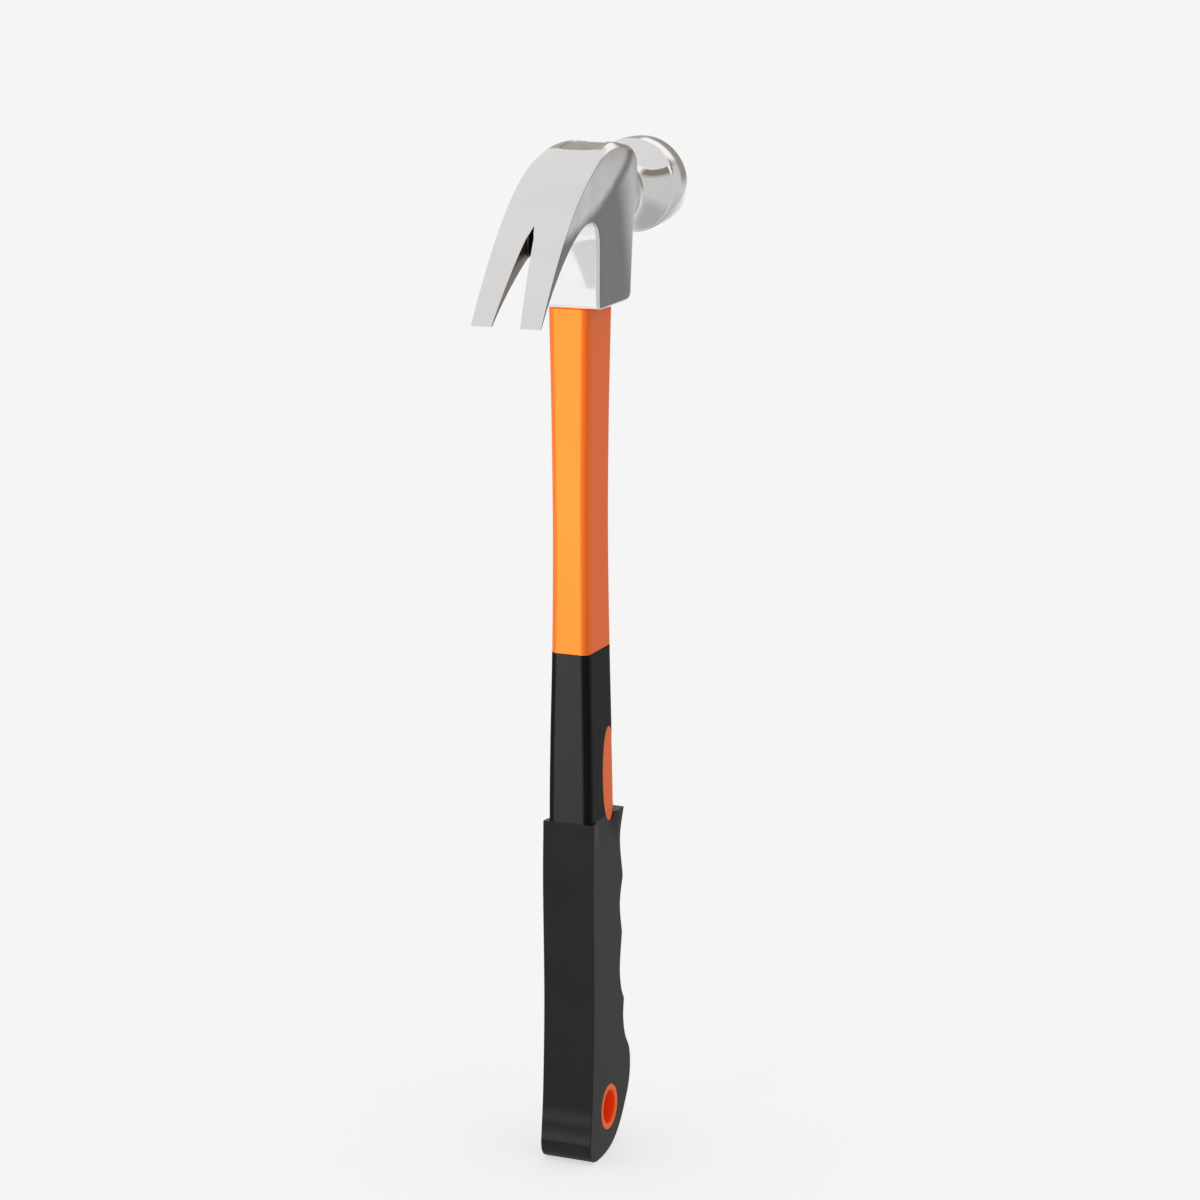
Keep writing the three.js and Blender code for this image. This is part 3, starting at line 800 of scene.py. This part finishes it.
def rubber_material():
    """Moulded rubber: grained on its flats, and smooth where the sleeve's edges turn, which painted shade
    makes black.
    """
    material, tree, shader = new_material("black_rubber")
    height = drawn_place(tree)[2]
    _, side, up = surface_normal(tree)
    on_sleeve = ramp(tree, height, SHOULDER - 0.3, SHOULDER + 0.3)
    turning = maths(tree, "MULTIPLY", ramp(tree, turning_edges(tree), 0.0, 0.33), on_sleeve)
    flank = ramp(tree, maths(tree, "ABSOLUTE", side), 0.5, 0.9)
    fine = noise(tree, 2600.0, 5.0, roughness=0.65)
    tree.links.new(rubber_colour(tree, on_sleeve, flank, turning, fine), shader.inputs["Base Color"])
    # faces that look up, such as the shoulder's flat top, are made smoother and given a painted sheen
    top_sheen = ramp(tree, up, 0.8, 0.95)
    sheen = rubber_sheen(tree, on_sleeve, flank, turning, up)
    tree.links.new(mix_value(tree, top_sheen, sheen, 0.6), shader.inputs["Specular IOR Level"])
    dull = ramp(tree, fine, 0.3, 0.7, 0.52, 0.62)
    tree.links.new(mix_value(tree, top_sheen, dull, 0.28), shader.inputs["Roughness"])
    tree.links.new(bump(tree, fine, 0.04 * MM, 0.5), shader.inputs["Normal"])
    return material


def resin_material():
    """Filled casting resin, brown-grey with fine specks."""
    material, tree, shader = new_material("resin")
    cloud = noise(tree, 250.0, 4.0)
    specks = noise(tree, 2500.0, 2.0)
    colour = mix_colour(tree, ramp(tree, cloud, 0.3, 0.7), rgb(0.35, 0.32, 0.285), rgb(0.41, 0.38, 0.34))
    colour = mix_colour(tree, ramp(tree, specks, 0.6, 0.7), colour, rgb(0.27, 0.24, 0.21))
    tree.links.new(colour, shader.inputs["Base Color"])
    shader.inputs["Specular IOR Level"].default_value = 0.25
    tree.links.new(ramp(tree, cloud, 0.3, 0.7, 0.35, 0.5), shader.inputs["Roughness"])
    tree.links.new(bump(tree, cloud, 0.1 * MM, 0.5), shader.inputs["Normal"])
    return material


def fibreglass_material():
    """Pulled fibreglass rod, with its strands running up it."""
    material, tree, shader = new_material("fibreglass")
    strands = noise(tree, 1500.0, 4.0, (1.0, 1.0, 0.01))
    colour = mix_colour(tree, ramp(tree, strands, 0.35, 0.65), rgb(0.62, 0.55, 0.34), rgb(0.75, 0.70, 0.50))
    tree.links.new(colour, shader.inputs["Base Color"])
    tree.links.new(ramp(tree, strands, 0.3, 0.7, 0.4, 0.55), shader.inputs["Roughness"])
    tree.links.new(bump(tree, strands, 0.05 * MM, 0.6), shader.inputs["Normal"])
    return material


# --- Studio -----------------------------------------------------------------------------------------------

BACKGROUND = rgb(0.913, 0.913, 0.913)


def card(tree, under, colour, *sides):
    """A soft-edged panel on the studio's walls. Each side is a direction and the cosines where it starts
    and is whole."""
    place = add_node(tree, "ShaderNodeTexCoord").outputs["Generated"]
    mask = None
    for direction, start, whole in sides:
        aim = Vector(direction).normalized()
        dot = add_node(tree, "ShaderNodeVectorMath", {0: place, 1: aim}, operation="DOT_PRODUCT")
        side = ramp(tree, dot.outputs["Value"], start, whole)
        mask = side if mask is None else maths(tree, "MULTIPLY", mask, side)
    return mix_colour(tree, mask, under, colour)


def heading(azimuth, elevation=0.0):
    """A direction in degrees from +X towards +Y, and up."""
    turn, rise = math.radians(azimuth), math.radians(elevation)
    return (math.cos(turn) * math.cos(rise), math.sin(turn) * math.cos(rise), math.sin(rise))


def world():
    """A plain pale studio, whose walls' panels show only in glossy reflections."""
    scene_world = bpy.data.worlds.new("studio")
    scene_world.use_nodes = True
    tree = scene_world.node_tree
    tree.nodes.clear()
    walls = rgb(1.05, 1.05, 1.06)
    # a pale grey ground
    walls = card(tree, walls, rgb(0.93, 0.93, 0.935), ((0, 0, -1), 0.45, 0.8))
    # the grey side of the room, with a darker patch low down
    walls = card(tree, walls, rgb(0.65, 0.65, 0.655), (heading(-101), 0.0, 0.09), ((0, 0, -1), -0.34, -0.27))
    walls = card(tree, walls, rgb(0.46, 0.46, 0.46), (heading(-15, -50), 0.74, 0.98))
    # a brown wall behind the bell
    walls = card(tree, walls, rgb(0.34, 0.30, 0.265), ((1, 0, 0), 0.905, 0.93), ((0, 0, 1), -0.15, 0.05))
    # a brown shelf to its right
    walls = card(tree, walls, rgb(0.26, 0.225, 0.19), (heading(-54), 0.72, 0.84), ((0, 0, 1), 0.22, 0.36),
                 ((0, 0, -1), -0.54, -0.49))
    # a brown doorway on the other side
    walls = card(tree, walls, rgb(0.47, 0.425, 0.38), (heading(107), 0.0, 0.06), (heading(-57), 0.0, 0.06),
                 ((0, 0, 1), -0.06, 0.02))
    # a pale grey ceiling
    walls = card(tree, walls, rgb(0.81, 0.805, 0.80), ((0, 0, 1), 0.51, 0.55))
    glossy = add_node(tree, "ShaderNodeBackground", {"Color": walls, "Strength": 1.0})
    plain = add_node(tree, "ShaderNodeBackground", {"Color": BACKGROUND, "Strength": 1.0})
    path = add_node(tree, "ShaderNodeLightPath")
    chosen = add_node(tree, "ShaderNodeMixShader", {0: path.outputs["Is Glossy Ray"]})
    tree.links.new(plain.outputs[0], chosen.inputs[1])
    tree.links.new(glossy.outputs[0], chosen.inputs[2])
    output = add_node(tree, "ShaderNodeOutputWorld")
    tree.links.new(chosen.outputs[0], output.inputs[0])
    bpy.context.scene.world = scene_world


def front_lamp():
    """A soft strip low in front of the handle. It points up, so that the floor stays plain."""
    light = bpy.data.lights.new("front_strip", "AREA")
    light.shape = "RECTANGLE"
    light.size, light.size_y = 0.10, 0.12
    light.energy = 1.1
    light.color = (1, 0.98, 0.96)
    light.spread = math.radians(40)
    lamp = bpy.data.objects.new("front_strip", light)
    place, target = Vector((-0.86, 0.28, 0.04)), Vector((0, 0, 0.26))
    lamp.location = place
    lamp.rotation_euler = (target - place).to_track_quat("-Z", "Y").to_euler()
    lamp.visible_glossy = False
    bpy.context.scene.collection.objects.link(lamp)


def floor():
    """A pale floor that fades into the background."""
    segments, radius = 96, 2.5
    points = [(radius * math.cos(angle), radius * math.sin(angle), 0.0) for angle in full_turn(segments)]
    mesh = bpy.data.meshes.new("floor")
    mesh.from_pydata(points, [], [tuple(range(segments))])
    plane = bpy.data.objects.new("floor", mesh)
    bpy.context.scene.collection.objects.link(plane)
    plane.visible_glossy = False
    material, tree, shader = new_material("floor")
    place = add_node(tree, "ShaderNodeTexCoord")
    far = add_node(tree, "ShaderNodeVectorMath", {0: place.outputs["Object"]}, operation="LENGTH")
    shader.inputs["Base Color"].default_value = rgb(0.35, 0.35, 0.35)
    shader.inputs["Emission Color"].default_value = BACKGROUND
    shader.inputs["Emission Strength"].default_value = 0.65
    shader.inputs["Roughness"].default_value = 0.9
    shader.inputs["Specular IOR Level"].default_value = 0.0
    shown = ramp(tree, far.outputs["Value"], 0.15, 1.2, 1.0, 0.0)
    tree.links.new(shown, shader.inputs["Alpha"])
    mesh.materials.append(material)


def camera():
    data = bpy.data.cameras.new("camera")
    data.sensor_width = 36.0
    data.lens = 104.9
    view = bpy.data.objects.new("camera", data)
    bpy.context.scene.collection.objects.link(view)
    view.location = (-1.00655, -0.43705, 0.44071)
    view.rotation_euler = Vector(heading(23.13, -12.93)).to_track_quat("-Z", "Y").to_euler()
    bpy.context.scene.camera = view


# --- Assembly ---------------------------------------------------------------------------------------------

def add_piece(shape, name, node, material):
    """Puts a finished piece in place of its CAD node."""
    shape.name = name
    shape.data.name = name
    shape.data.materials.clear()
    shape.data.materials.append(material)
    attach(shape, "root")
    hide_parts(node)


bpy.context.scene.view_settings.view_transform = "Standard"
world()
camera()
floor()
front_lamp()

add_piece(hammer_head(), "forged_head", "hammer_head", steel_material())
add_piece(eye_resin(), "resin_plug", "eye_resin", resin_material())
add_piece(handle_jacket(), "moulded_jacket", "handle_jacket", polymer_material())
add_piece(rubber_grip(), "moulded_grip", "rubber_grip", rubber_material())
core = frame["nodes"]["fibreglass_core"]
core.data.materials.clear()
core.data.materials.append(fibreglass_material())
